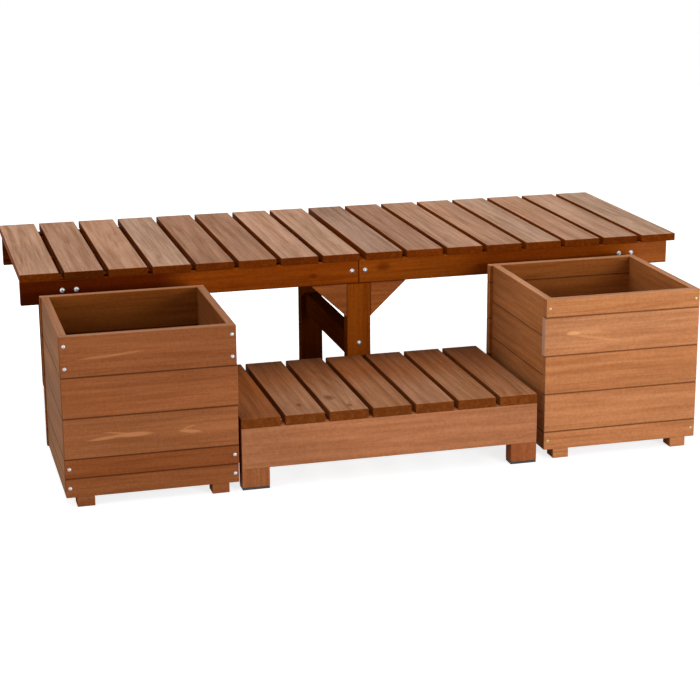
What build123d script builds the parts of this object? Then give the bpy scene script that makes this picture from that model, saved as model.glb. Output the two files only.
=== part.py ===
from build123d import *
import os

os.makedirs("parts", exist_ok=True)

# Slatted garden bench with a low slatted step in front of its middle and an open planter
# box in front of each end. Millimetres, floor at Z = 0, front of the set towards -Y,
# origin on the floor under the middle of the whole set.

# ---- Bench ----
deck_length = 1800.0
deck_depth = 650.0
deck_height = 458.0
slat_width = 99.5
slat_gap = 13.5
middle_gap = 19.0
slat_thickness = 20.5
batten_width = 30.0
batten_height = 20.0
middle_batten_height = 45.0
batten_clearance = 2.0
batten_end_inset = 40.0
back_batten_inset = 16.0
rail_shortfall = 25.0
rail_thickness = 20.0
front_rail_height = 60.0
back_rail_height = 74.0
frame_depth = 568.0
leg_width = 64.0
leg_depth = 37.0
end_leg_inset = 124.0
cross_rail_height = 64.0
cross_rail_thickness = 37.0
cross_rail_underside = 163.5
gusset_reach = 98.0
gusset_drop = 92.0
gusset_nose = 6.0
pad_thickness = 6.0
pad_inset = 0.5

# ---- Step ----
step_slat_count = 7
step_slat_width = 97.5
step_slat_gap = 11.7
step_slat_thickness = 25.0
step_height = 180.0
step_depth = 471.0
step_clearance = 2.0
step_centre = -58.0
step_leg_width = 68.0
fascia_height = 102.0
fascia_thickness = 20.0
side_rail_height = 60.0
side_rail_thickness = 20.0
cleat_size = 32.0

# ---- Planter boxes ----
planter_width = 414.0
planter_depth = 419.0
planter_height = 415.0
panel_thickness = 20.0
foot_size = 42.0
foot_height = 24.0
foot_inset = 25.0
half_board = 47.0
bearer_height = 20.0
floor_thickness = 15.0
floor_board_count = 4
floor_gap = 6.0
left_planter_clearance = 56.0
right_planter_clearance = 39.0
left_planter_side_gap = 7.0
right_planter_side_gap = 25.5
long_end = 2.0
short_end = 1.0
proud_end = 3.5
left_back_end = 3.5
right_back_end = 9.0

# ---- Fixings ----
bolt_diameter = 6.0
bolt_head_diameter = 13.0
bolt_head_height = 4.0
bolt_spacing = 36.0
rail_bolt_drop = 26.0
socket_width = 4.0
nut_width = 10.0
nut_height = 5.0
bolt_end = 1.0
cross_bolt_rise = 49.0
cross_bolt_grip = 48.0
screw_diameter = 4.0
screw_head_diameter = 9.0
screw_head_height = 2.4
long_screw = 60.0
panel_screw = 45.0
short_screw = 30.0
counterbore_diameter = 10.0
hole_clearance = 0.15
blind_clearance = 1.0
deck_screw_shift = 12.0
deck_screw_grip = 12.5
batten_screw_grip = 12.5
gusset_screw_step = 40.0
gusset_screw_grip = 25.0
cleat_screw_grip = 12.0
fascia_screw_margin = 25.0
side_screw_margin = 15.0
side_screw_recess = 3.0
panel_screw_spread = 54.0
bearer_screw_recess = 12.0
bearer_screw_inset = 95.0
foot_screw_recess = 8.0
foot_screw_inset = 11.0

# ---- Edge rounding ----
slat_round = 2.0
timber_round = 1.5
board_round = 2.0
pad_round = 0.8

# ---- Derived places ----
set_reach = left_planter_clearance + planter_depth + screw_head_height
bench_front = set_reach - (deck_depth + set_reach) / 2
frame_back = bench_front + frame_depth
deck_underside = deck_height - slat_thickness
front_rail_underside = deck_underside - front_rail_height
back_rail_underside = deck_underside - back_rail_height
rail_start = -deck_length / 2
rail_length = (deck_length - rail_shortfall) / 2
rail_joint = rail_start + rail_length
rail_end = rail_joint + rail_length
leg_centres = {
    "left": rail_start + end_leg_inset,
    "middle": rail_joint,
    "right": rail_end - end_leg_inset,
}
half_leg = leg_width / 2
cross_bolt_height = cross_rail_underside + cross_bolt_rise
cross_bolt_length = leg_depth + cross_bolt_grip

# Turns of a fixing whose head starts out facing +Z.
FACING_FRONT = Rot(90, 0, 0)
FACING_BACK = Rot(-90, 0, 0)
FACING_DOWN = Rot(180, 0, 0)
FACING_UP = Rot(0, 0, 0)
FACING_RIGHT = Rot(0, 90, 0)
FACING_LEFT = Rot(0, -90, 0)

parts = {}


def timber(x, y, z, rounding):
    """Straight timber filling the given low-high ranges, with every edge rounded."""
    middle = Pos(sum(x) / 2, sum(y) / 2, sum(z) / 2)
    return fillet((middle * Box(x[1] - x[0], y[1] - y[0], z[1] - z[0])).edges(), rounding)


def dome_fixing(head_diameter, head_height, shank_diameter, shank_length):
    """Round-headed fixing with the underside of its head at Z = 0 and its shank below."""
    head, shank = head_diameter / 2, shank_diameter / 2
    rim = head_height * 0.2
    rise = head_height - rim
    curve = (rise**2 + head**2) / (2 * rise)
    side = Polyline(
        (0, -shank_length),
        (shank / 2, -shank_length),
        (shank, shank - shank_length),
        (shank, 0),
        (head, 0),
        (head, rim),
    )
    halfway = (head / 2, head_height - curve + (curve**2 - (head / 2) ** 2) ** 0.5)
    dome = ThreePointArc((head, rim), halfway, (0, head_height))
    core = Line((0, head_height), (0, -shank_length))
    return revolve(Plane.XZ * make_face([side, dome, core]), Axis.Z)


def socket_bolt(shank_length):
    """Bolt with a domed head and a hexagonal key socket."""
    key = extrude(RegularPolygon(socket_width / 2, 6, major_radius=False), bolt_head_height)
    bolt = dome_fixing(bolt_head_diameter, bolt_head_height, bolt_diameter, shank_length)
    return bolt - Pos(0, 0, bolt_head_height / 2) * key


def wood_screw(shank_length):
    """Screw with a shallow domed head."""
    return dome_fixing(screw_head_diameter, screw_head_height, screw_diameter, shank_length)


def nut():
    """Hexagonal nut standing on Z = 0 with a bore that clears the bolt."""
    body = extrude(RegularPolygon(nut_width / 2, 6, major_radius=False), nut_height)
    return body - Cylinder(bolt_diameter / 2 + hole_clearance, nut_height * 3)


def bored(piece, places, diameter, depth):
    """Piece with a hole from each place along the shank of the fixing that sits there."""
    bit = Cylinder(
        diameter / 2 + hole_clearance, depth, align=(Align.CENTER, Align.CENTER, Align.MAX)
    )
    return piece - [place * bit for place in places]


def countersunk(piece, places, depth):
    """Piece with a pocket that lets each fixing's head in from the head's own side."""
    bit = Cylinder(
        counterbore_diameter / 2, depth, align=(Align.CENTER, Align.CENTER, Align.MIN)
    )
    return piece - [place * bit for place in places]


def group(solids):
    """Separate solids kept as one named piece."""
    return Compound(children=list(solids))


# ---- Deck slats: two runs either side of the middle gap, each filled with as many slats as
# ---- come nearest to the wanted gap, the left run flush with the left end of the rails.
run_length = (deck_length - middle_gap) / 2
slats_per_run = round((run_length + slat_gap) / (slat_width + slat_gap))
slat_pitch = (run_length - slat_width) / (slats_per_run - 1)
slat_starts = [
    run_start + i * slat_pitch
    for run_start in (rail_start, deck_length / 2 - run_length)
    for i in range(slats_per_run)
]
deck_screw_offset = slat_width / 2 + deck_screw_shift
deck_screw_seat = deck_underside + deck_screw_grip - long_screw
front_screw_y = bench_front + rail_thickness / 2
back_screw_y = frame_back - rail_thickness / 2
# Low Y and height of the battens: the front one stands clear of the legs and their nuts.
batten_rows = [
    (bench_front + leg_depth + nut_height + bolt_end + batten_clearance, batten_height),
    ((bench_front + frame_back - batten_width) / 2, middle_batten_height),
    (bench_front + deck_depth - back_batten_inset - batten_width, batten_height),
]
batten_screw_offset = slat_width / 2 - deck_screw_shift
batten_screw_seat = deck_underside + batten_screw_grip - short_screw
deck_screws, batten_screws = [], []
for number, start in enumerate(slat_starts, 1):
    rail_places = [
        Pos(start + deck_screw_offset, y, deck_screw_seat) * FACING_DOWN
        for y in (front_screw_y, back_screw_y)
    ]
    batten_places = [
        Pos(start + batten_screw_offset, low_y + batten_width / 2, batten_screw_seat) * FACING_DOWN
        for low_y, _ in batten_rows
    ]
    slat = timber(
        (start, start + slat_width),
        (bench_front, bench_front + deck_depth),
        (deck_underside, deck_height),
        slat_round,
    )
    slat = bored(slat, rail_places, screw_diameter, long_screw + blind_clearance)
    parts[f"deck_slat_{number:02d}"] = bored(
        slat, batten_places, screw_diameter, short_screw + blind_clearance
    )
    deck_screws += rail_places
    batten_screws += batten_places

# ---- Deck battens: three under each run, screwed up into every slat so that the run is a panel.
battens = []
for run_start in (rail_start, deck_length / 2 - run_length):
    for low_y, height in batten_rows:
        batten = timber(
            (run_start + batten_end_inset, run_start + run_length - batten_end_inset),
            (low_y, low_y + batten_width),
            (deck_underside - height, deck_underside),
            timber_round,
        )
        here = [
            place
            for place in batten_screws
            if run_start < place.position.X < run_start + run_length
            and low_y < place.position.Y < low_y + batten_width
        ]
        battens.append(countersunk(bored(batten, here, screw_diameter, short_screw), here, height))
parts["deck_battens"] = group(battens)

# ---- Rail bolts: two per leg at the front and at the back, through rail and leg tongue.
rail_bolt_z = deck_underside - rail_bolt_drop
front_bolts, back_bolts, cross_bolts = {}, {}, {}
for side, centre in leg_centres.items():
    bolt_xs = (centre - bolt_spacing / 2, centre + bolt_spacing / 2)
    front_bolts[side] = [Pos(x, bench_front, rail_bolt_z) * FACING_FRONT for x in bolt_xs]
    back_bolts[side] = [Pos(x, frame_back, rail_bolt_z) * FACING_BACK for x in bolt_xs]
    cross_bolts[side] = [
        Pos(centre, bench_front, cross_bolt_height) * FACING_FRONT,
        Pos(centre, frame_back, cross_bolt_height) * FACING_BACK,
    ]
all_front_bolts = sum(front_bolts.values(), [])
all_back_bolts = sum(back_bolts.values(), [])

# ---- Gussets: triangular blocks under the rails, on both sides of the middle leg and on the
# ---- inner side of each end leg, held by one screw up into the rail and one into the leg.
gusset_corners = [
    ("left", 1),
    ("middle", -1),
    ("middle", 1),
    ("right", -1),
]
gusset_seat = long_screw - gusset_screw_grip
gusset_rows = [
    (front_rail_underside, bench_front),
    (back_rail_underside, frame_back - rail_thickness),
]
gussets = []
up_screws, leg_screws = [], []
for underside, low_y in gusset_rows:
    for side, out in gusset_corners:
        corner_x = leg_centres[side] + out * half_leg
        outline = Polyline(
            (corner_x, underside),
            (corner_x + out * gusset_reach, underside),
            (corner_x + out * (gusset_reach - gusset_nose), underside - gusset_nose),
            (corner_x + out * gusset_nose, underside - gusset_drop + gusset_nose),
            (corner_x, underside - gusset_drop),
            close=True,
        )
        high_y = low_y + rail_thickness
        block = extrude(Plane.XZ * make_face(outline), -rail_thickness)
        middle_y = low_y + rail_thickness / 2
        up = Pos(corner_x + out * gusset_screw_step, middle_y, underside - gusset_seat) * FACING_DOWN
        turn = FACING_RIGHT if out > 0 else FACING_LEFT
        across = Pos(corner_x + out * gusset_seat, middle_y, underside - gusset_screw_step) * turn
        block = bored(Pos(0, low_y, 0) * block, [up, across], screw_diameter, long_screw)
        gussets.append(countersunk(block, [up, across], gusset_drop))
        up_screws.append(up)
        leg_screws.append(across)
parts["gussets"] = group(gussets)

# ---- Long rails: front and back, each in two lengths butted over the middle leg.
all_up_screws = deck_screws + up_screws
for name, y, underside, bolts in (
    ("front_rail", (bench_front, bench_front + rail_thickness), front_rail_underside, all_front_bolts),
    ("back_rail", (frame_back - rail_thickness, frame_back), back_rail_underside, all_back_bolts),
):
    for side, start in (("left", rail_start), ("right", rail_joint)):
        rail = timber((start, start + rail_length), y, (underside, deck_underside), timber_round)
        near = [
            place
            for place in all_up_screws
            if start < place.position.X < start + rail_length and y[0] < place.position.Y < y[1]
        ]
        rail = bored(rail, near, screw_diameter, long_screw + blind_clearance)
        rail = countersunk(rail, [p for p in near if p.position.Z > underside], back_rail_height)
        held = [p for p in bolts if start < p.position.X < start + rail_length]
        parts[f"{name}_{side}"] = bored(rail, held, bolt_diameter, rail_thickness * 2)

# ---- Leg frames: a front leg and a back leg, each cut back at the top so that its rail sits
# ---- flush on its shoulder, with one cross rail bolted between the two.
back_leg_front = frame_back - leg_depth
cross_rail_y = (bench_front + leg_depth, back_leg_front)
for side, centre in leg_centres.items():
    x = (centre - half_leg, centre + half_leg)
    near = [p for p in leg_screws if x[0] - long_screw < p.position.X < x[1] + long_screw]
    for name, y, cut_y, rail_height, bolts in (
        (
            "front_leg",
            (bench_front, bench_front + leg_depth),
            bench_front,
            front_rail_height,
            front_bolts[side],
        ),
        (
            "back_leg",
            (back_leg_front, frame_back),
            frame_back,
            back_rail_height,
            back_bolts[side],
        ),
    ):
        leg = timber(x, y, (pad_thickness, deck_underside), timber_round)
        rebate = Pos(centre, cut_y, deck_underside) * Box(
            leg_width * 2, rail_thickness * 2, rail_height * 2
        )
        leg = bored(leg - rebate, bolts, bolt_diameter, leg_depth * 2)
        leg = bored(leg, cross_bolts[side], bolt_diameter, leg_depth * 2)
        own = [p for p in near if y[0] < p.position.Y < y[1]]
        parts[f"{name}_{side}"] = bored(leg, own, screw_diameter, long_screw + blind_clearance)
    cross = timber(
        (centre - cross_rail_thickness / 2, centre + cross_rail_thickness / 2),
        cross_rail_y,
        (cross_rail_underside, cross_rail_underside + cross_rail_height),
        timber_round,
    )
    parts[f"cross_rail_{side}"] = bored(
        cross, cross_bolts[side], bolt_diameter, cross_bolt_length + blind_clearance
    )

# ---- Bench fixings and foot pads.
rail_bolt = socket_bolt(leg_depth + nut_height + bolt_end)
cross_bolt = socket_bolt(cross_bolt_length)
nut_seat = Pos(0, 0, -leg_depth - nut_height)
parts["bench_bolts"] = group(
    [p * rail_bolt for p in all_front_bolts + all_back_bolts]
    + [p * nut_seat * nut() for p in all_front_bolts + all_back_bolts]
    + [p * cross_bolt for places in cross_bolts.values() for p in places]
)
parts["bench_screws"] = group(
    [p * wood_screw(long_screw) for p in all_up_screws + leg_screws]
    + [p * wood_screw(short_screw) for p in batten_screws]
)


def pad(x, y):
    """Flat rubber pad under a leg that fills the given ranges."""
    return timber(
        (x[0] + pad_inset, x[1] - pad_inset),
        (y[0] + pad_inset, y[1] - pad_inset),
        (0, pad_thickness),
        pad_round,
    )


parts["bench_pads"] = group(
    pad((centre - half_leg, centre + half_leg), y)
    for centre in leg_centres.values()
    for y in ((bench_front, bench_front + leg_depth), (back_leg_front, frame_back))
)

# ---- Step: slats across two fascia boards, four short legs rebated behind the fascias, side
# ---- rails between front and back legs, and cleats that the slats are screwed to from below.
step_width = step_slat_count * (step_slat_width + step_slat_gap) - step_slat_gap
step_x = (step_centre - step_width / 2, step_centre + step_width / 2)
step_y = (bench_front - step_clearance - step_depth, bench_front - step_clearance)
step_underside = step_height - step_slat_thickness
fascia_underside = step_underside - fascia_height
fascia_y = {
    "front": (step_y[0], step_y[0] + fascia_thickness),
    "back": (step_y[1] - fascia_thickness, step_y[1]),
}
step_leg_x = ((step_x[0], step_x[0] + step_leg_width), (step_x[1] - step_leg_width, step_x[1]))
step_leg_y = {
    "front": (step_y[0], step_y[0] + leg_depth),
    "back": (step_y[1] - leg_depth, step_y[1]),
}
side_rail_x = (
    (step_x[0], step_x[0] + side_rail_thickness),
    (step_x[1] - side_rail_thickness, step_x[1]),
)
cleat_y = {
    "front": (fascia_y["front"][1], fascia_y["front"][1] + cleat_size),
    "back": (fascia_y["back"][0] - cleat_size, fascia_y["back"][0]),
}
cleat_seat = step_underside + cleat_screw_grip - short_screw

slat_screws = []
for number in range(step_slat_count):
    start = step_x[0] + number * (step_slat_width + step_slat_gap)
    inner = {0: step_leg_width / 2, step_slat_count - 1: -step_leg_width / 2}.get(number, 0)
    screw_x = start + step_slat_width / 2 + inner
    places = [Pos(screw_x, sum(y) / 2, cleat_seat) * FACING_DOWN for y in cleat_y.values()]
    slat = timber(
        (start, start + step_slat_width), step_y, (step_underside, step_height), slat_round
    )
    parts[f"step_slat_{number + 1}"] = bored(
        slat, places, screw_diameter, short_screw + blind_clearance
    )
    slat_screws += places

cleats, step_legs, fascia_screws, side_screws = [], [], [], []
for end, turn, inward in (("front", FACING_BACK, 1), ("back", FACING_FRONT, -1)):
    outer_y = step_y[0] if end == "front" else step_y[1]
    tongue_inner = outer_y + inward * leg_depth
    fascia_screws_here = [
        Pos(sum(x) / 2, tongue_inner, z) * turn
        for x in step_leg_x
        for z in (fascia_underside + fascia_screw_margin, step_underside - fascia_screw_margin)
    ]
    side_turn = FACING_FRONT if end == "front" else FACING_BACK
    side_screws_here = [
        Pos(sum(x) / 2, outer_y + inward * (fascia_thickness + side_screw_recess), z) * side_turn
        for x in side_rail_x
        for z in (
            step_underside - side_rail_height + side_screw_margin,
            step_underside - side_screw_margin,
        )
    ]
    fascia = timber(step_x, fascia_y[end], (fascia_underside, step_underside), timber_round)
    parts[f"step_{end}_fascia"] = bored(
        fascia, fascia_screws_here, screw_diameter, short_screw + blind_clearance
    )
    cleat = timber(
        (step_leg_x[0][1], step_leg_x[1][0]),
        cleat_y[end],
        (step_underside - cleat_size, step_underside),
        timber_round,
    )
    here = [p for p in slat_screws if cleat_y[end][0] < p.position.Y < cleat_y[end][1]]
    cleats.append(countersunk(bored(cleat, here, screw_diameter, short_screw), here, cleat_size))
    for x in step_leg_x:
        leg = timber(x, step_leg_y[end], (pad_thickness, step_underside), timber_round)
        rebate = Pos(sum(x) / 2, outer_y, step_underside) * Box(
            step_leg_width * 2, fascia_thickness * 2, fascia_height * 2
        )
        leg = bored(leg - rebate, fascia_screws_here, screw_diameter, short_screw)
        leg = bored(leg, side_screws_here, screw_diameter, leg_depth)
        step_legs.append(countersunk(leg, side_screws_here, leg_depth))
    fascia_screws += fascia_screws_here
    side_screws += side_screws_here
parts["step_cleats"] = group(cleats)
parts["step_legs"] = group(step_legs)

parts["step_side_rails"] = group(
    bored(
        timber(
            x,
            (step_leg_y["front"][1], step_leg_y["back"][0]),
            (step_underside - side_rail_height, step_underside),
            timber_round,
        ),
        side_screws,
        screw_diameter,
        long_screw + blind_clearance,
    )
    for x in side_rail_x
)
parts["step_pads"] = group(pad(x, y) for x in step_leg_x for y in step_leg_y.values())
parts["step_screws"] = group(
    [p * wood_screw(short_screw) for p in slat_screws + fascia_screws]
    + [p * wood_screw(long_screw) for p in side_screws]
)


# ---- Planter boxes: front and back panels run the full width over the ends of the two side
# ---- panels; a slatted floor lies on two bearers, with four block feet below.
full_board = (planter_height - foot_height - 2 * half_board) / 3


def courses(heights, x, y, lengthwise, ends):
    """Boards stacked from the rim down; ends gives how far a board passes each end."""
    boards, top = [], planter_height
    for row, height in enumerate(heights):
        before, after = ends.get(row, (0, 0))
        z = (top - height, top)
        if lengthwise:
            boards.append(timber((x[0] - before, x[1] + after), y, z, board_round))
        else:
            boards.append(timber(x, (y[0] - before, y[1] + after), z, board_round))
        top -= height
    return boards


def planter(name, start_x, back_y, front_heights, front_ends, back_end, screws_per_row):
    """All pieces of one planter box, added to the parts under the given name."""
    x = (start_x, start_x + planter_width)
    y = (back_y - planter_depth, back_y)
    inner_x = (x[0] + panel_thickness, x[1] - panel_thickness)
    inner_y = (y[0] + panel_thickness, y[1] - panel_thickness)

    panel_screw_xs = (x[0] + panel_thickness / 2, x[1] - panel_thickness / 2)
    screw_zs, top = [], planter_height
    for height, count in zip(front_heights, screws_per_row):
        middle = top - height / 2
        spread = panel_screw_spread / 2
        screw_zs += {0: [], 1: [middle], 2: [middle + spread, middle - spread]}[count]
        top -= height
    front_screws = [Pos(sx, y[0], z) * FACING_FRONT for sx in panel_screw_xs for z in screw_zs]
    back_screws = [Pos(sx, y[1], z) * FACING_BACK for sx in panel_screw_xs for z in screw_zs]

    back_ends = {row: (back_end, 0) for row in range(len(front_heights))}
    for face, face_y, screws, ends in (
        ("front", (y[0], inner_y[0]), front_screws, front_ends),
        ("back", (inner_y[1], y[1]), back_screws, back_ends),
    ):
        parts[f"{name}_planter_{face}"] = group(
            bored(board, screws, screw_diameter, panel_thickness * 2)
            for board in courses(front_heights, x, face_y, True, ends)
        )

    # Bearers lie against the side panels and carry the floor boards.
    bearer_z = (foot_height, foot_height + bearer_height)
    floor_z = (bearer_z[1], bearer_z[1] + floor_thickness)
    bearer_xs = (
        (inner_x[0], inner_x[0] + foot_size),
        (inner_x[1] - foot_size, inner_x[1]),
    )
    bearer_screws = [
        Pos(bx, by, sum(bearer_z) / 2) * turn
        for bx, turn in (
            (bearer_xs[0][1] - bearer_screw_recess, FACING_RIGHT),
            (bearer_xs[1][0] + bearer_screw_recess, FACING_LEFT),
        )
        for by in (inner_y[0] + bearer_screw_inset, inner_y[1] - bearer_screw_inset)
    ]
    side_heights = (full_board, full_board, full_board, half_board, half_board)
    sides = []
    for side_x in ((x[0], inner_x[0]), (inner_x[1], x[1])):
        for board in courses(side_heights, side_x, inner_y, False, {}):
            board = bored(
                board, front_screws + back_screws, screw_diameter, panel_screw + blind_clearance
            )
            sides.append(
                bored(board, bearer_screws, screw_diameter, panel_screw + blind_clearance)
            )
    parts[f"{name}_planter_sides"] = group(sides)

    foot_xs = (
        (x[0] + foot_inset, x[0] + foot_inset + foot_size),
        (x[1] - foot_inset - foot_size, x[1] - foot_inset),
    )
    foot_ys = ((y[0], y[0] + foot_size), (y[1] - foot_size, y[1]))
    foot_screws = [
        Pos(sum(fx) / 2, by, foot_screw_recess) * FACING_DOWN
        for fx in foot_xs
        for by in (inner_y[0] + foot_screw_inset, inner_y[1] - foot_screw_inset)
    ]
    parts[f"{name}_planter_feet"] = group(
        countersunk(
            bored(
                timber(fx, fy, (0, foot_height), board_round),
                foot_screws,
                screw_diameter,
                panel_screw,
            ),
            foot_screws,
            foot_height,
        )
        for fx in foot_xs
        for fy in foot_ys
    )

    pitch = (inner_y[1] - inner_y[0] + floor_gap) / floor_board_count
    floor_screws, floor = [], []
    for row in range(floor_board_count):
        low_y = inner_y[0] + row * pitch
        places = [
            Pos(sum(bx) / 2, low_y + (pitch - floor_gap) / 2, floor_z[1]) * FACING_UP
            for bx in bearer_xs
        ]
        board = timber(inner_x, (low_y, low_y + pitch - floor_gap), floor_z, board_round)
        floor.append(bored(board, places, screw_diameter, floor_thickness * 2))
        floor_screws += places
    for bx in bearer_xs:
        bearer = bored(
            timber(bx, inner_y, bearer_z, board_round),
            foot_screws + floor_screws,
            screw_diameter,
            short_screw + blind_clearance,
        )
        bearer = bored(bearer, bearer_screws, screw_diameter, panel_screw)
        floor.append(countersunk(bearer, bearer_screws, foot_size))
    parts[f"{name}_planter_floor"] = group(floor)

    parts[f"{name}_planter_screws"] = group(
        [p * wood_screw(panel_screw) for p in front_screws + back_screws + bearer_screws]
        + [p * wood_screw(short_screw) for p in foot_screws + floor_screws]
    )


planter(
    "left",
    step_x[0] - left_planter_side_gap - planter_width,
    bench_front - left_planter_clearance,
    (full_board, full_board, full_board, half_board, half_board),
    {1: (0, long_end), 4: (0, -short_end)},
    left_back_end,
    (2, 0, 0, 1, 1),
)
planter(
    "right",
    step_x[1] + right_planter_side_gap,
    bench_front - right_planter_clearance,
    (half_board, full_board, full_board, full_board, half_board),
    {1: (proud_end, 0)},
    right_back_end,
    (1, 0, 0, 0, 1),
)

for name, shape in parts.items():
    export_step(shape, f"parts/{name}.step")
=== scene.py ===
import math
import random

import bmesh
import bpy
from mathutils import Matrix, Vector


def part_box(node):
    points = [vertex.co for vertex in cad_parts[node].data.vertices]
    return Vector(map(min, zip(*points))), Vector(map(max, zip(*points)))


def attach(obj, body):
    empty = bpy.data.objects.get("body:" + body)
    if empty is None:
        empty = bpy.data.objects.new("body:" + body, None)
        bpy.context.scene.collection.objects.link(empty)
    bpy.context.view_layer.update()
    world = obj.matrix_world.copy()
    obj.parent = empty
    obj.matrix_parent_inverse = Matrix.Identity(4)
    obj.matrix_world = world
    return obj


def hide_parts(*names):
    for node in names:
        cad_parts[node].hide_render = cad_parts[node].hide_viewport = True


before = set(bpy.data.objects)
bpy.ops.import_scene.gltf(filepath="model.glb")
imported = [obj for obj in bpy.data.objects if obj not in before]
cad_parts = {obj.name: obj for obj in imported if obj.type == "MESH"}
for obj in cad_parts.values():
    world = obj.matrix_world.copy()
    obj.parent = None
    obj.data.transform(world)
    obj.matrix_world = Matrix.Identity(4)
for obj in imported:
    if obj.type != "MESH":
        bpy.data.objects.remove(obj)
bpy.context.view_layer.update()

bpy.ops.object.select_all(action="DESELECT")


# ---- Deck ----------------------------------------------------------------------------------
# Sixteen planed softwood slats with eased edges and the battens under them, brushed with brown
# wood stain. The slats have weathered to a dry, paler top, each to its own colour, with a painted
# sheen in that top colour. The brown of each slat, seen on its front end, is scaled slat by slat
# with painted shade and painted light.


class Finish:
    """One socket of a material. Sums written on it become Math nodes."""

    def __init__(self, tree, socket=None):
        self.tree, self.socket = tree, socket

    def node(self, kind, settings, sockets, output=0):
        """Any node: its settings, then the values or links of its sockets."""
        made = self.tree.nodes.new(kind)
        for name, value in settings.items():
            if name == "stops":
                ramp = made.color_ramp
                while len(ramp.elements) < len(value):
                    ramp.elements.new(1.0)
                for element, (place, shade) in zip(ramp.elements, value):
                    element.position = place
                    shade = (shade,) * 3 if isinstance(shade, float) else shade
                    element.color = (*shade, 1.0)
            elif name == "steps":
                made.color_ramp.interpolation = value
            else:
                setattr(made, name, value)
        for name, value in sockets.items():
            if isinstance(value, Finish):
                self.tree.links.new(value.socket, made.inputs[name])
            else:
                made.inputs[name].default_value = value
        return Finish(self.tree, made.outputs[output])

    def math(self, operation, *values):
        return self.node("ShaderNodeMath", {"operation": operation}, dict(enumerate(values)))

    def __add__(self, other):
        return self.math("ADD", self, other)

    __radd__ = __add__

    def __sub__(self, other):
        return self.math("SUBTRACT", self, other)

    def __rsub__(self, other):
        return self.math("SUBTRACT", other, self)

    def __mul__(self, other):
        return self.math("MULTIPLY", self, other)

    __rmul__ = __mul__

    def __gt__(self, other):
        return self.math("GREATER_THAN", self, other)

    def band(self, low, high, at_low=0.0, at_high=1.0):
        """Soft step from one value to another between two bounds."""
        return self.node(
            "ShaderNodeMapRange",
            {"interpolation_type": "SMOOTHSTEP"},
            {"Value": self, "From Min": low, "From Max": high, "To Min": at_low, "To Max": at_high},
        )

    def mixed(self, share, first, second, blend="MIX"):
        """Two colours mixed by a share."""
        return self.node(
            "ShaderNodeMix",
            {"data_type": "RGBA", "blend_type": blend, "clamp_factor": True},
            {0: share, 6: first, 7: second},
            output=2,
        )


def shaded(colour, factor):
    """Colour with each channel multiplied, and room for the alpha that a socket takes."""
    return tuple(c * f for c, f in zip(colour, factor)) + (1.0,)


def new_finish(name):
    """Empty material, as the tree's Finish and its main shader."""
    material = bpy.data.materials.new(name)
    material.use_nodes = True
    return material, Finish(material.node_tree), material.node_tree.nodes["Principled BSDF"]


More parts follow.
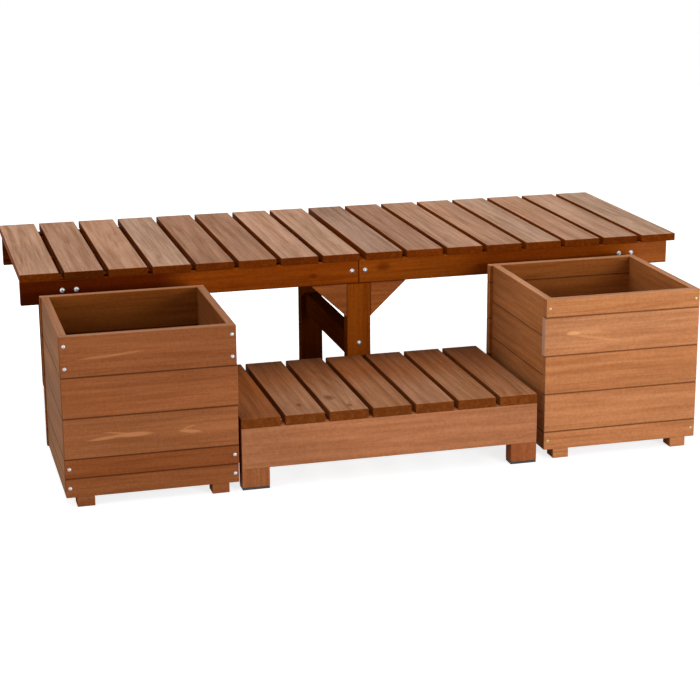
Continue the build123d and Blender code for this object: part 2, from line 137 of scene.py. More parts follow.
def stained_wood(
    name, grain, face, seed, stain, dry_and_sheen=None, joints=(), tones=(), rings=75.0, figure=1.0,
    contrast=1.0, knots=(), flames=(), inner_painted_shade=None, painted_shade_span=(), raw_end=None, painted_light_runs=(), shine=0.02,
):
    """Brown stained softwood. The grain runs along one axis and face is the board's thin axis.
    Seed is the number of the first board. Joints are planes between boards, each with what it
    adds to the board's number, and tones tint the boards by that number.
    Dry is the colour of the tops: weathered, paler wood with a painted sheen in it. A pair of
    bounds along the board fades that top into painted shade. Runs of the board can have painted
    shadow, painted shade or painted light multiplied into their colour.
    Rings sets how close the growth lines are, figure how far they wander and contrast how dark
    they are. Knots and flames, which are pale streaks, are given by place and size.
    Inside is a box's centre and the painted shade of the faces turned to it. A raw end is the low end
    of the board of that number, cut after staining. Shine is how much the stain reflects."""
    material, start, shader = new_finish(name)
    link = material.node_tree.links.new
    places = start.node("ShaderNodeTexCoord", {}, {}, output="Object")
    normals = start.node("ShaderNodeTexCoord", {}, {}, output="Normal")
    at = {a: start.node("ShaderNodeSeparateXYZ", {}, {0: places}, output=a) for a in "XYZ"}
    facing = {a: start.node("ShaderNodeSeparateXYZ", {}, {0: normals}, output=a) for a in "XYZ"}
    across = ({"X", "Y", "Z"} - {grain, face}).pop()

    # Board number, three chances that belong to it, and the dark line where two boards meet.
    number = start.math("ADD", float(seed), 0.0)
    seam = start.math("ADD", 0.0, 0.0)
    for axis, place, step in joints:
        number = number + (at[axis] > place) * step
        near = start.math("ABSOLUTE", at[axis] - place).band(0.0008, 0.0034, 1.0, 0.0)
        seam = start.math("MAXIMUM", seam, near)
    chance = start.node("ShaderNodeTexWhiteNoise", {"noise_dimensions": "1D"}, {"W": number}, output=1)
    luck = [start.node("ShaderNodeSeparateColor", {}, {0: chance}, output=i) for i in range(3)]

    def drawn(stretch, scale, detail, extra=0.0, rough=0.5):
        """Noise drawn out along the grain, different on every board."""
        parts = {grain: at[grain] * stretch, across: at[across], face: at[face]}
        flow = start.node("ShaderNodeCombineXYZ", {}, {i: parts[a] for i, a in enumerate("XYZ")})
        sockets = {"Vector": flow, "Scale": scale, "Detail": detail, "Roughness": rough}
        sockets["W"] = number * 7.31 + extra
        return start.node("ShaderNodeTexNoise", {"noise_dimensions": "4D"}, sockets)

    # Knots are dark, and push the growth lines round them.
    swirl = drawn(0.09, 15.0, 1.5)
    knot, push = 0.0, 0.0
    for along_at, across_at, size in knots:
        run = (at[grain] - along_at) * 0.6
        off = at[across] - across_at + (swirl - 0.5) * (size * 1.2)
        away = start.math("SQRT", run * run + off * off)
        knot = knot + away.band(size * 0.3, size * 1.3, 1.0, 0.0)
        push = push + away.band(0.0, size * 5.0, 0.6, 0.0)

    # Growth lines, pores and streaks that take up the stain.
    spread = at[across] * (rings * 0.55) + luck[0] * 5.0 + at[face] * 30.0
    phase = spread * (luck[1] * 0.7 + 0.5) + swirl * (9.0 * figure) + push
    late = start.node(
        "ShaderNodeValToRGB",
        {"stops": [(0.0, 0.0), (0.45, 0.12), (0.84, 1.0), (1.0, 0.0)]},
        {0: start.math("FRACT", phase)},
    )
    clear = drawn(0.12, 5.0, 1.0, 31.0).band(0.35, 0.65, 0.25, 1.0)
    lines = start.math("MULTIPLY", late, clear)
    fibre = drawn(0.022, 420.0, 2.0, 11.0, 0.6)
    streak = drawn(0.035, 70.0, 2.0, 5.0, 0.55)
    patch = drawn(0.3, 6.0, 3.0, 57.0, 0.55)
    mottle = start.node(
        "ShaderNodeTexNoise", {}, {"Vector": places, "Scale": 130.0, "Detail": 5.0, "Roughness": 0.7}
    )
    soaked = lines * 0.26 + streak.band(0.32, 0.68) * 0.42 + fibre.band(0.35, 0.7) * 0.30

    def grained(colour):
        """Light early wood to dark late wood about one colour."""
        light = [1 + c * contrast for c in (0.15, 0.20, 0.26)]
        dark = [1 - c * contrast for c in (0.34, 0.44, 0.54)]
        return start.mixed(soaked, shaded(colour, light), shaded(colour, dark))

    colour = grained(stain)
    # The pale top colour is weathered wood with a painted sheen in it.
    if dry_and_sheen:
        dry_sheen_top = facing["Z"].band(0.72, 0.97)
        # Along the board the top colour fades back to the dark stain: a painted shade.
        if painted_shade_span:
            dry_sheen_top = dry_sheen_top * start.math("MULTIPLY_ADD", patch - 0.5, 0.25, at[grain]).band(*painted_shade_span, 1.0, 0.25)
        colour = start.mixed(dry_sheen_top, colour, grained(dry_and_sheen))
    if tones:
        share = (number - float(seed)) * (1.0 / len(tones)) + 0.5 / len(tones)
        stops = [(i / len(tones), tone) for i, tone in enumerate(tones)]
        board = start.node("ShaderNodeValToRGB", {"steps": "CONSTANT", "stops": stops}, {0: share})
        colour = start.mixed(1.0, colour, board, "MULTIPLY")
    # Runs of painted shadow, painted shade or painted light multiplied into the colour.
    for low, high, soft, shade in painted_light_runs:
        painted_run = at[grain].band(low - soft, low + soft) * at[grain].band(high - soft, high + soft, 1.0, 0.0)
        colour = start.mixed(painted_run, colour, start.mixed(1.0, colour, (*shade, 1.0), "MULTIPLY"))
    blotch = patch.band(0.3, 0.7, 0.86, 1.10) * mottle.band(0.3, 0.7, 0.90, 1.10)
    colour = start.node("ShaderNodeVectorMath", {"operation": "SCALE"}, {0: colour, "Scale": blotch})
    for (low, low_across), (high, high_across), half_width, strength in flames:
        run = (at[grain] - (low + high) / 2) * (2 / (high - low))
        line = run * ((high_across - low_across) / 2) + (low_across + high_across) / 2
        off = (at[across] - line + (streak - 0.5) * 0.007) * (1 / half_width)
        away = start.math("SQRT", run * run + off * off)
        colour = start.mixed(away.band(0.5, 1.0, strength, 0.0), colour, shaded(stain, (1.6, 2.0, 2.3)))
    # Painted shade on the faces turned into the box.
    if inner_painted_shade:
        middle, shade = inner_painted_shade
        inwards = (middle.x - at["X"]) * facing["X"] + (middle.y - at["Y"]) * facing["Y"]
        painted_inner_colour = start.mixed(1.0, colour, (*shade, 1.0), "MULTIPLY")
        colour = start.mixed(inwards.band(0.02, 0.08), colour, painted_inner_colour)
    if knots:
        colour = start.mixed(knot * 0.6, colour, shaded(stain, (0.34, 0.22, 0.14)))

    # End grain drinks the stain, rounded edges wear a little, and dirt settles in the joints.
    end = start.math("ABSOLUTE", facing[grain]).band(0.6, 0.95)
    colour = start.mixed(end * mottle.band(0.38, 0.62, 0.1, 0.9), colour, shaded(stain, (0.60, 0.50, 0.42)))
    level = start.math("MAXIMUM", start.math("ABSOLUTE", facing["X"]), start.math("ABSOLUTE", facing["Y"]))
    level = start.math("MAXIMUM", level, start.math("ABSOLUTE", facing["Z"]))
    worn = level.band(0.80, 0.97, 1.0, 0.0)
    colour = start.mixed(worn * 0.22, colour, shaded(stain, (1.35, 1.5, 1.8)))
    if joints:
        colour = start.mixed(seam * 0.7, colour, shaded(stain, (0.22, 0.15, 0.10)))
    if raw_end is not None:
        raw = start.math("COMPARE", number, float(seed + raw_end), 0.3) * (0 - facing[grain]).band(0.6, 0.95)
        colour = start.mixed(raw * 0.9, colour, (0.46, 0.26, 0.17, 1.0))
    link(colour.socket, shader.inputs["Base Color"])

    shader.inputs["Specular IOR Level"].default_value = shine
    rough = fibre * 0.16 + lines * -0.08 + end * 0.2 + patch * 0.1 + 0.53
    link(rough.socket, shader.inputs["Roughness"])
    height = lines * 0.45 + fibre * 0.6 + streak * 0.35
    bump = start.node("ShaderNodeBump", {}, {"Strength": 0.4, "Distance": 0.0007, "Height": height})
    link(bump.socket, shader.inputs["Normal"])
    return material


def finish_nodes(material, *names):
    """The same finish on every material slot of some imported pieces."""
    for name in names:
        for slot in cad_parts[name].material_slots:
            slot.material = material


deck_brown = (0.168, 0.034, 0.002)
# Pale top colour of each slat: weathered wood with a painted sheen in it.
deck_dry_and_sheen = (
    (0.364, 0.203, 0.124), (0.371, 0.199, 0.118), (0.368, 0.195, 0.115), (0.378, 0.228, 0.150),
    (0.270, 0.136, 0.079), (0.296, 0.150, 0.087), (0.403, 0.221, 0.137), (0.389, 0.222, 0.140),
    (0.300, 0.175, 0.117), (0.316, 0.166, 0.102), (0.388, 0.216, 0.133), (0.382, 0.207, 0.123),
    (0.397, 0.234, 0.152), (0.397, 0.213, 0.127), (0.410, 0.231, 0.143), (0.459, 0.282, 0.186),
)
# Scale of each slat's brown, seen on its front end: painted shade below one, painted light above.
deck_end_light = (
    1.0, 0.66, 1.0, 1.03, 1.0, 1.15, 0.97, 1.03, 1.07, 1.32, 1.13, 1.08, 1.2, 1.04, 0.93, 1.17,
)
for number, (dry_and_sheen, depth) in enumerate(zip(deck_dry_and_sheen, deck_end_light), 1):
    slat = f"deck_slat_{number:02d}"
    # Each slat's brown takes its painted light or shade.
    brown = tuple(level * depth for level in deck_brown)
    wood = stained_wood(f"{slat}_stain", "Y", "Z", number * 3, brown, dry_and_sheen, contrast=1.4)
    finish_nodes(wood, slat)

low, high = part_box("deck_battens")
past_batten = 0.1
batten_joints = (
    ("X", (low.x + high.x) / 2, 1.0),
    ("Y", low.y + past_batten, 2.0), ("Y", high.y - past_batten, 2.0),
)
batten_wood = stained_wood("deck_batten_stain", "X", "Z", 50, deck_brown, joints=batten_joints, shine=0.0)
finish_nodes(batten_wood, "deck_battens")


# ---- Rails and leg frames ------------------------------------------------------------------
# Front and back rails butt over the middle legs and are bolted to them. Legs, cross rails and
# gussets are of the same softwood, less weathered and a warmer, more even brown. The front rails
# carry a painted shadow where the planter boxes stand before them and painted light at the right
# end, and the right rail's brown is a little lighter, as painted light on that side.

# The two front rails' browns differ as painted light: lighter on the right.
left_rail_brown, right_rail_brown = (0.222, 0.044, 0.003), (0.245, 0.054, 0.004)
# The darker brown of the pieces under the deck is painted shade.
leg_brown, painted_shade_brown = (0.198, 0.044, 0.003), (0.115, 0.020, 0.001)
gusset_brown = (0.266, 0.078, 0.018)
rail_knots = {
    "front_rail_left": ((-0.1368, 0.4047, 0.007),),
    "front_rail_right": ((0.0555, 0.4191, 0.013),),
}
# Painted shadow of the planter boxes on the front rails, and painted light at the right end.
rail_painted_light = {
    "front_rail_left": ((-1.0, -0.505, 0.05, (0.37, 0.24, 0.36)),),
    "front_rail_right": ((0.30, 0.70, 0.06, (0.74, 0.62, 0.45)), (0.77, 1.0, 0.04, (1.22, 1.45, 4.0))),
}
under_rail = ("Z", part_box("front_rail_left")[0].z, 0.0)
rail_meeting = ("X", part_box("front_rail_left")[1].x, 0.0)
for number, (name, brown) in enumerate((
    ("front_rail_left", left_rail_brown), ("front_rail_right", right_rail_brown),
    ("back_rail_left", painted_shade_brown), ("back_rail_right", painted_shade_brown),
)):
    wood = stained_wood(
        f"{name}_stain", "X", "Y", 60 + number, brown, rings=90.0, knots=rail_knots.get(name, ()),
        joints=(rail_meeting, under_rail), painted_light_runs=rail_painted_light.get(name, ()), shine=0.0,
    )
    finish_nodes(wood, name)

gusset_joints = [under_rail]
for number, side in enumerate(("left", "middle", "right")):
    for row, (end, brown) in enumerate((("front", leg_brown), ("back", painted_shade_brown))):
        name = f"{end}_leg_{side}"
        board = 70 + number * 2 + row
        wood = stained_wood(f"{name}_stain", "Z", "Y", board, brown, joints=(under_rail,), shine=0.0)
        finish_nodes(wood, name)
    name = f"cross_rail_{side}"
    finish_nodes(stained_wood(f"{name}_stain", "Y", "X", 80 + number, painted_shade_brown, shine=0.0), name)
    low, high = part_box(f"front_leg_{side}")
    gusset_joints += [("X", low.x, 0.0), ("X", (low.x + high.x) / 2, 1.0), ("X", high.x, 0.0)]
finish_nodes(stained_wood("gusset_stain", "X", "Y", 90, gusset_brown, joints=gusset_joints), "gussets")


# ---- Hidden strips -------------------------------------------------------------------------
# Planed strips of the frame's softwood, in the painted-shade brown of the pieces under the deck.
# One is screwed up under the joint of the two deck halves and ends tight against the middle legs.
# The others make the middle battens deeper.

seat_gap = 0.0001


def planed_strip(name, low, high, easing, segments, wood):
    """A strip between two corners, with its edges eased."""
    bpy.ops.mesh.primitive_cube_add(size=1, location=(low + high) / 2, scale=high - low)
    strip = bpy.context.object
    strip.name = name
    bpy.ops.object.transform_apply(location=True, rotation=True, scale=True)
    bpy.ops.object.mode_set(mode="EDIT")
    bpy.ops.mesh.bevel(offset=easing, segments=segments)
    bpy.ops.object.mode_set(mode="OBJECT")
    bpy.ops.object.shade_smooth_by_angle(angle=math.radians(35))
    strip.data.materials.append(wood)
    bpy.ops.object.select_all(action="DESELECT")
    return strip


leg_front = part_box("front_leg_middle")[1]
leg_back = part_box("back_leg_middle")[0]
deck_middle = (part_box("deck_slat_08")[1].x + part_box("deck_slat_09")[0].x) / 2
strip_width, strip_height = 0.044, 0.020
strip_top = leg_front.z - seat_gap
joint_strip = planed_strip(
    "joint_strip",
    Vector((deck_middle - strip_width / 2, leg_front.y + seat_gap, strip_top - strip_height)),
    Vector((deck_middle + strip_width / 2, leg_back.y - seat_gap, strip_top)),
    0.002,
    3,
    stained_wood("joint_strip_stain", "Y", "Z", 96, painted_shade_brown, shine=0.0),
)
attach(joint_strip, "bench")

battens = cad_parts["deck_battens"]
batten_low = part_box("deck_battens")[0].z
batten_edge, batten_strip_height = 0.004, 0.006
points = [battens.matrix_world @ vertex.co for vertex in battens.data.vertices]
points = [point for point in points if point.z < batten_low + batten_edge]
for number, side in enumerate(("left", "right")):
    half = [point for point in points if (point.x > deck_middle) == (side == "right")]
    low, high = (Vector([pick(point[i] for point in half) for i in range(3)]) for pick in (min, max))
    high.z = batten_low - seat_gap
    low.z = high.z - batten_strip_height
    wood = stained_wood(f"batten_strip_{side}_stain", "X", "Z", 97 + number, painted_shade_brown, shine=0.0)
    batten_strip = planed_strip(f"batten_strip_{side}", low, high, 0.001, 2, wood)
    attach(batten_strip, "bench")


# ---- Step ----------------------------------------------------------------------------------
# A low step with seven slats across two fascia boards, on four short legs. The slats have the
# deck's dry top with painted sheen, which gives way to painted shade towards the bench, and the
# fascias are a lighter, pinker brown. The back legs and the right front leg carry painted shade.

step_brown, fascia_brown, step_leg_brown = (0.195, 0.052, 0.009), (0.370, 0.142, 0.061), (0.34, 0.11, 0.036)
# Pale top colour of each step slat: weathered wood with a painted sheen in it.
step_dry_and_sheen = (
    (0.212, 0.068, 0.021), (0.322, 0.148, 0.075), (0.334, 0.160, 0.083), (0.340, 0.147, 0.068),
    (0.312, 0.140, 0.072), (0.334, 0.149, 0.068), (0.308, 0.134, 0.062),
)
step_knots = {
    2: ((-0.485, -0.2736, 0.008),),
    3: ((-0.445, -0.1919, 0.014), (-0.520, -0.1578, 0.008)),
}
for number, dry_and_sheen in enumerate(step_dry_and_sheen, 1):
    name = f"step_slat_{number}"
    # Towards the bench the slat tops turn to painted shade.
    wood = stained_wood(
        f"{name}_stain", "Y", "Z", 100 + number * 3, step_brown, dry_and_sheen, contrast=1.3,
        knots=step_knots.get(number, ()), painted_shade_span=(-0.45, -0.22),
    )
    finish_nodes(wood, name)

for number, name in enumerate(("step_front_fascia", "step_back_fascia")):
    wood = stained_wood(f"{name}_stain", "X", "Y", 130 + number, fascia_brown, figure=0.7, contrast=0.8)
    finish_nodes(wood, name)

low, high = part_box("step_legs")
step_corners = (("X", (low.x + high.x) / 2, 1.0), ("Y", (low.y + high.y) / 2, 2.0))
# Painted shade on the step's legs: the right front leg and the two back legs are darker.
step_leg_painted_shade = ((1.01, 1.04, 1.14), (0.83, 0.74, 0.74), (0.70, 0.60, 0.50), (0.70, 0.60, 0.50))
for name, grain, face, board, brown, joints, tones in (
    ("step_leg", "Z", "Y", 140, step_leg_brown, step_corners, step_leg_painted_shade),
    ("step_side_rail", "Y", "X", 150, step_brown, step_corners[:1], ()),
    ("step_cleat", "X", "Z", 155, step_brown, step_corners[1:], ()),
):
    wood = stained_wood(f"{name}_stain", grain, face, board, brown, joints=joints, tones=tones)
    finish_nodes(wood, f"{name}s")


# ---- Planter boxes -------------------------------------------------------------------------
# Two square boxes of tongued boards. The front and back boards run past the ends of the side
# boards and are screwed into them; bearers and floor boards hold the soil, over four feet.

planter_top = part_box("left_planter_back")[1].z
planter_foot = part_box("left_planter_feet")[1].z
narrow, floor_boards = 0.047, 4
wide = (planter_top - planter_foot - 2 * narrow) / 3
side_courses = [planter_top - wide * n for n in (1, 2, 3)] + [planter_foot + narrow]


def planter_finishes(side, seed, browns, painted_shades, front_courses, front_tones, flames, raw_end=None):
    """Stains of one planter box: a number for each board, so that no two are alike.
    Browns are those of front and back, sides, rims and floor; the rim colour is the boards' top
    colour, with a painted sheen in it. Shades are painted shade: that of the inner faces of front
    and back, of the sides' inner faces, and of the sides' rear ends towards the bench."""
    # The rim colour is the boards' top colour: weathered wood with a painted sheen in it.
    outer, sides, rim_top_and_sheen, dark = browns
    back_painted_shade, side_painted_shade, rear_painted_shade = painted_shades
    low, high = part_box(f"{side}_planter_sides")
    middle = (low + high) / 2
    floor_low, floor_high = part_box(f"{side}_planter_floor")
    pitch = (floor_high.y - floor_low.y) / floor_boards
    rows = tuple(("Z", z, 1.0) for z in reversed(front_courses))
    side_rows = tuple(("Z", z, 1.0) for z in reversed(side_courses)) + (("X", middle.x, 5.0),)
    feet = (("X", middle.x, 1.0), ("Y", middle.y, 2.0))
    floor_rows = tuple(("Y", floor_low.y + pitch * n, 1.0) for n in range(1, floor_boards))
    for part, node, grain, face, board, brown, dry_sheen_top, joints, more in (
        ("front", "front", "X", "Y", seed, outer, rim_top_and_sheen, rows, {
            "tones": front_tones, "flames": flames, "figure": 0.8, "contrast": 0.9,
            "inner_painted_shade": (middle, back_painted_shade), "raw_end": raw_end,
        }),
        ("back", "back", "X", "Y", seed + 10, outer, rim_top_and_sheen, rows, {"inner_painted_shade": (middle, back_painted_shade)}),
        ("side", "sides", "Y", "X", seed + 20, sides, rim_top_and_sheen, side_rows, {
            # The sides' rear ends, towards the bench, carry painted shade.
            "inner_painted_shade": (middle, side_painted_shade), "painted_light_runs": ((high.y - 0.12, 1.0, 0.14, rear_painted_shade),),
        }),
        ("foot", "feet", "X", "Z", seed + 40, outer, None, feet, {}),
        ("floor", "floor", "X", "Z", seed + 50, dark, None, floor_rows, {}),
    ):
        name = f"{side}_planter_{part}_stain"
        wood = stained_wood(name, grain, face, board, brown, dry_sheen_top, joints=joints, **more)
        finish_nodes(wood, f"{side}_planter_{node}")


planter_finishes(
    "left",
    200,
    browns=((0.277, 0.089, 0.030), (0.265, 0.112, 0.044), (0.320, 0.143, 0.072), (0.12, 0.04, 0.014)),
    painted_shades=((0.84, 0.73, 0.35), (0.90, 0.67, 0.45), (1.0, 1.0, 1.0)),
    front_courses=side_courses,
    front_tones=(
        (0.97, 0.94, 0.88), (0.85, 0.76, 0.64), (1.04, 1.10, 1.16), (1.10, 1.10, 1.10), (0.95, 0.95, 0.95),
    ),
    flames=(
        ((-0.745, 0.1670), (-0.636, 0.1668), 0.0066, 1.0),
        ((-0.812, 0.1600), (-0.690, 0.1690), 0.0042, 0.9),
        ((-0.770, 0.1790), (-0.700, 0.1695), 0.0030, 0.7),
        ((-0.592, 0.1668), (-0.524, 0.1590), 0.0056, 1.0),
        ((-0.580, 0.1680), (-0.540, 0.1785), 0.0030, 0.8),
        ((-0.820, 0.3590), (-0.700, 0.3655), 0.0040, 0.6),
        ((-0.750, 0.3620), (-0.655, 0.3700), 0.0034, 0.5),
    ),
)
planter_finishes(
    "right",
    300,
    browns=((0.469, 0.184, 0.069), (0.400, 0.147, 0.047), (0.446, 0.217, 0.117), (0.14, 0.05, 0.018)),
    painted_shades=((0.80, 0.62, 0.33), (0.88, 0.80, 0.68), (0.82, 0.76, 0.68)),
    front_courses=[planter_top - narrow - wide * n for n in (0, 1, 2, 3)],
    front_tones=(
        (0.90, 0.88, 0.90), (1.06, 1.06, 1.10), (0.97, 0.95, 0.95), (0.99, 1.03, 1.14), (0.97, 0.97, 0.97),
    ),
    flames=(
        ((0.394, 0.3252), (0.440, 0.3240), 0.0060, 0.6),
        ((0.402, 0.3265), (0.510, 0.3240), 0.0050, 0.3),
        ((0.402, 0.3230), (0.560, 0.2930), 0.0050, 0.25),
    ),
    raw_end=3,
)


# ---- Fixings -------------------------------------------------------------------------------
# Round-headed steel screws with a cross recess, turned home at all angles, and round-headed
# key bolts with nuts behind. The right planter's screws are yellow-plated and have dulled.


def plated_steel(name, colour, roughness, dulling):
    """Zinc-plated steel with fine turning marks and a cloudy, handled surface."""
    material, start, shader = new_finish(name)
    places = start.node("ShaderNodeTexCoord", {}, {}, output="Object")
    cloud = start.node("ShaderNodeTexNoise", {}, {"Vector": places, "Scale": 260.0, "Detail": 3.0})
    marks = start.node("ShaderNodeTexNoise", {}, {"Vector": places, "Scale": 1900.0, "Detail": 2.0})
    dull = cloud.band(0.35, 0.7) * dulling
    tint = start.mixed(dull, (*colour, 1.0), shaded(colour, (0.55, 0.50, 0.44)))
    link = material.node_tree.links.new
    link(tint.socket, shader.inputs["Base Color"])
    link((cloud * 0.2 + marks * 0.1 + (roughness - 0.15)).socket, shader.inputs["Roughness"])
    bump = start.node("ShaderNodeBump", {}, {"Strength": 0.2, "Distance": 0.0001, "Height": marks})
    link(bump.socket, shader.inputs["Normal"])
    shader.inputs["Metallic"].default_value = 1.0
    return material


bright_steel = plated_steel("bright_steel", (0.50, 0.51, 0.53), 0.45, 0.4)
dull_steel = plated_steel("dull_steel", (0.46, 0.35, 0.18), 0.52, 0.5)
finish_nodes(bright_steel, "bench_bolts")

head_radius, head_height, shank_radius = 0.0045, 0.0024, 0.002
rim_height, blank_length = 0.0005, 0.02
recess_length, recess_width, recess_height = 0.005, 0.0011, 0.0026


def screw_places(node):
    """Seat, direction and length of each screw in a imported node, found from its own shape."""
    shape = bmesh.new()
    shape.from_mesh(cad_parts[node].data)
    bmesh.ops.remove_doubles(shape, verts=shape.verts, dist=1e-6)
    found, seen = [], set()
    for first in shape.verts:
        if first in seen:
            continue
        screw, waiting = [], [first]
        seen.add(first)
        while waiting:
            vertex = waiting.pop()
            screw.append(vertex.co.copy())
            for edge in vertex.link_edges:
                other = edge.other_vert(vertex)
                if other not in seen:
                    seen.add(other)
                    waiting.append(other)
        low = Vector([min(p[i] for p in screw) for i in range(3)])
        high = Vector([max(p[i] for p in screw) for i in range(3)])
        long_axis = max(range(3), key=lambda i: high[i] - low[i])
        centre = (low + high) / 2
        wide = [
            p[long_axis]
            for p in screw
            if math.hypot(*[p[i] - centre[i] for i in range(3) if i != long_axis]) > head_radius * 0.9
        ]
        direction = Vector([0.0, 0.0, 0.0])
        direction[long_axis] = 1.0 if sum(wide) / len(wide) > centre[long_axis] else -1.0
        length = high[long_axis] - low[long_axis] - head_height
        seat = centre + direction * (length / 2 - head_height / 2)
        found.append((seat, direction, length))
    shape.free()
    return found


def select_faces(chosen):
    """In edit mode, selects the faces whose middle and normal pass the test."""
    shape = bmesh.from_edit_mesh(bpy.context.object.data)
    bpy.context.tool_settings.mesh_select_mode = (False, False, True)
    for face in shape.faces:
        face.select_set(chosen(face.calc_center_median(), face.normal))
    bmesh.update_edit_mesh(bpy.context.object.data)


bpy.ops.mesh.primitive_cylinder_add(
    vertices=24, radius=head_radius, depth=rim_height, location=(0, 0, rim_height / 2)
)
screw_head = bpy.context.object
bpy.ops.object.mode_set(mode="EDIT")
select_faces(lambda middle, normal: normal.z > 0.9)
for reach, rise in ((0.86, 0.0008), (0.80, 0.0006), (0.66, 0.00035), (0.4, 0.00015)):
    bpy.ops.mesh.extrude_region_move(TRANSFORM_OT_translate={"value": (0, 0, rise)})
    bpy.ops.transform.resize(value=(reach, reach, 1))
select_faces(lambda middle, normal: normal.z < -0.9)
bpy.ops.mesh.extrude_region_move(TRANSFORM_OT_translate={"value": (0, 0, 0)})
bpy.ops.transform.resize(value=(shank_radius / head_radius, shank_radius / head_radius, 1))
bpy.ops.mesh.extrude_region_move(TRANSFORM_OT_translate={"value": (0, 0, -blank_length)})
bpy.ops.object.mode_set(mode="OBJECT")
for across, along in ((recess_length, recess_width), (recess_width, recess_length)):
    bpy.ops.mesh.primitive_cube_add(
        size=1, location=(0, 0, head_height), scale=(across, along, recess_height)
    )
    cutter = bpy.context.object
    bpy.context.view_layer.objects.active = screw_head
    cut = screw_head.modifiers.new("recess", "BOOLEAN")
    cut.object, cut.operation, cut.solver = cutter, "DIFFERENCE", "EXACT"
    bpy.ops.object.modifier_apply(modifier=cut.name)
    bpy.data.objects.remove(cutter)
head_mesh = screw_head.data
bpy.data.objects.remove(screw_head)

turns = random.Random(7)
for node, body, steel, slot_name in (
    ("bench_screws", "bench", bright_steel, "bright_steel"),
    ("step_screws", "step", bright_steel, "bright_steel"),
    ("left_planter_screws", "left_planter", bright_steel, "bright_steel"),
    ("right_planter_screws", "right_planter", dull_steel, "dull_steel"),
):
    joined = bmesh.new()
    for seat, direction, length in screw_places(node):
        one = bmesh.new()
        one.from_mesh(head_mesh)
        for vertex in one.verts:
            if vertex.co.z < -blank_length / 2:
                vertex.co.z = -length
        turn = direction.to_track_quat("Z", "Y").to_matrix().to_4x4()
        spin = Matrix.Rotation(turns.uniform(0, math.pi), 4, "Z")
        bmesh.ops.transform(one, matrix=Matrix.Translation(seat) @ turn @ spin, verts=one.verts)
        mesh = bpy.data.meshes.new("screw")
        one.to_mesh(mesh)
        one.free()
        joined.from_mesh(mesh)
        bpy.data.meshes.remove(mesh)
    mesh = bpy.data.meshes.new(f"{node}_dressed")
    joined.to_mesh(mesh)
    joined.free()
    mesh.materials.append(steel)
    piece = bpy.data.objects.new(f"{node}_dressed", mesh)
    bpy.context.scene.collection.objects.link(piece)
    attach(piece, body)
    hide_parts(node)


# ---- Foot pads -----------------------------------------------------------------------------
# Black rubber pads glued under the legs of bench and step, a hair smaller than the legs. They
# are matt, finely pored and a little dusty.

rubber, start, shader = new_finish("pad_rubber")
places = start.node("ShaderNodeTexCoord", {}, {}, output="Object")
dust = start.node("ShaderNodeTexNoise", {}, {"Vector": places, "Scale": 90.0, "Detail": 4.0})
pores = start.node("ShaderNodeTexNoise", {}, {"Vector": places, "Scale": 1200.0, "Detail": 2.0})
tint = start.mixed(dust.band(0.45, 0.8) * 0.5, (0.012, 0.012, 0.013, 1), (0.05, 0.045, 0.04, 1))
rubber.node_tree.links.new(tint.socket, shader.inputs["Base Color"])
rubber.node_tree.links.new((dust * 0.2 + 0.6).socket, shader.inputs["Roughness"])
bump = start.node("ShaderNodeBump", {}, {"Strength": 0.3, "Distance": 0.0002, "Height": pores})
rubber.node_tree.links.new(bump.socket, shader.inputs["Normal"])
finish_nodes(rubber, "bench_pads", "step_pads")


# ---- Studio --------------------------------------------------------------------------------
# A plain pale floor that keeps the object's shadow, white surroundings, three soft lamps, and
# a camera at eye height in front of the left end.


def seen_rays(start):
    """One on the rays that show a surface, directly, mirrored or through glass."""
    camera, glossy, transmission = (
        start.node("ShaderNodeLightPath", {}, {}, output=ray)
        for ray in ("Is Camera Ray", "Is Glossy Ray", "Is Transmission Ray")
    )
    return start.math("MAXIMUM", start.math("MAXIMUM", camera, glossy), transmission)


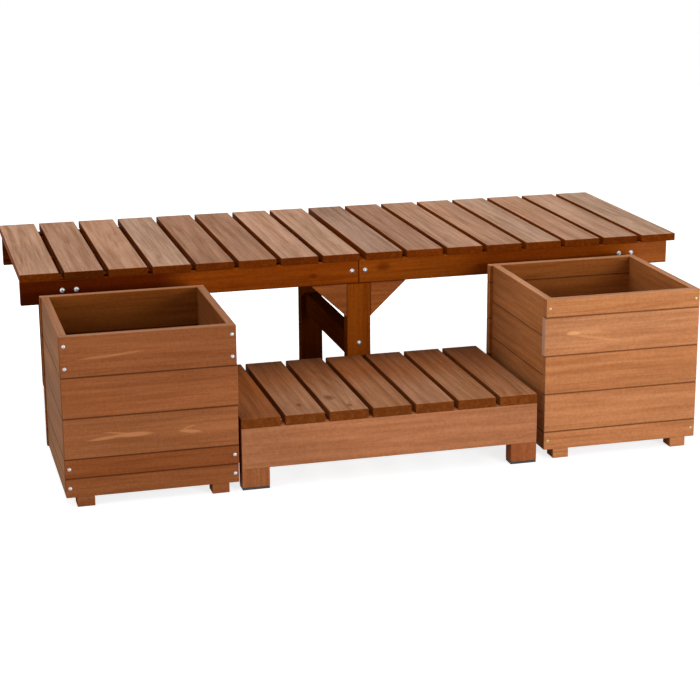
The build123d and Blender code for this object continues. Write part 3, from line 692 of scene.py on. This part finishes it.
bpy.ops.mesh.primitive_plane_add(size=60, location=(0, 0, -0.0003))
floor = bpy.context.object
floor.name = "studio_floor"
pale, start, shader = new_finish("studio_floor")
shader.inputs["Base Color"].default_value = (0.6, 0.6, 0.6, 1)
shader.inputs["Roughness"].default_value = 0.9
shader.inputs["Specular IOR Level"].default_value = 0.1
bright = pale.node_tree.nodes.new("ShaderNodeEmission")
bright.inputs["Color"].default_value = (1, 1, 1, 1)
bright.inputs["Strength"].default_value = 0.78
both = pale.node_tree.nodes.new("ShaderNodeAddShader")
blend = pale.node_tree.nodes.new("ShaderNodeMixShader")
link = pale.node_tree.links.new
link(shader.outputs[0], both.inputs[0])
link(bright.outputs[0], both.inputs[1])
link(seen_rays(start).socket, blend.inputs[0])
link(shader.outputs[0], blend.inputs[1])
link(both.outputs[0], blend.inputs[2])
link(blend.outputs[0], pale.node_tree.nodes["Material Output"].inputs["Surface"])
floor.data.materials.append(pale)

world = bpy.data.worlds.new("studio")
bpy.context.scene.world = world
world.use_nodes = True
air = world.node_tree.nodes["Background"]
air.inputs["Color"].default_value = (1, 1, 1, 1)
ambient = 0.32
strength = seen_rays(Finish(world.node_tree)).band(0.0, 1.0, ambient, 1.0)
world.node_tree.links.new(strength.socket, air.inputs["Strength"])

for name, place, target, size, power in (
    ("key_lamp", (1.7, -4.0, 0.75), (0, -0.2, 0.3), 1.4, 109.0),
    ("top_lamp", (-0.4, 0.6, 3.6), (0, 0, 0.3), 2.6, 95.0),
    ("side_lamp", (-3.8, -1.6, 1.5), (-0.3, -0.3, 0.2), 2.0, 38.0),
):
    light = bpy.data.lights.new(name, "AREA")
    light.shape, light.size, light.energy = "SQUARE", size, power
    lamp = bpy.data.objects.new(name, light)
    bpy.context.scene.collection.objects.link(lamp)
    lamp.location = place
    lamp.rotation_euler = (Vector(target) - Vector(place)).to_track_quat("-Z", "Y").to_euler()

camera = bpy.data.objects.new("camera", bpy.data.cameras.new("camera"))
bpy.context.scene.collection.objects.link(camera)
camera.location = (-1.2372, -4.5635, 1.4861)
camera.rotation_euler = [math.radians(a) for a in (74.828, 0.244, -15.545)]
camera.data.sensor_width, camera.data.lens = 36.0, 92.21
camera.data.shift_x, camera.data.shift_y = -0.0207, -0.0180
bpy.context.scene.camera = camera
bpy.context.scene.view_settings.view_transform = "Standard"
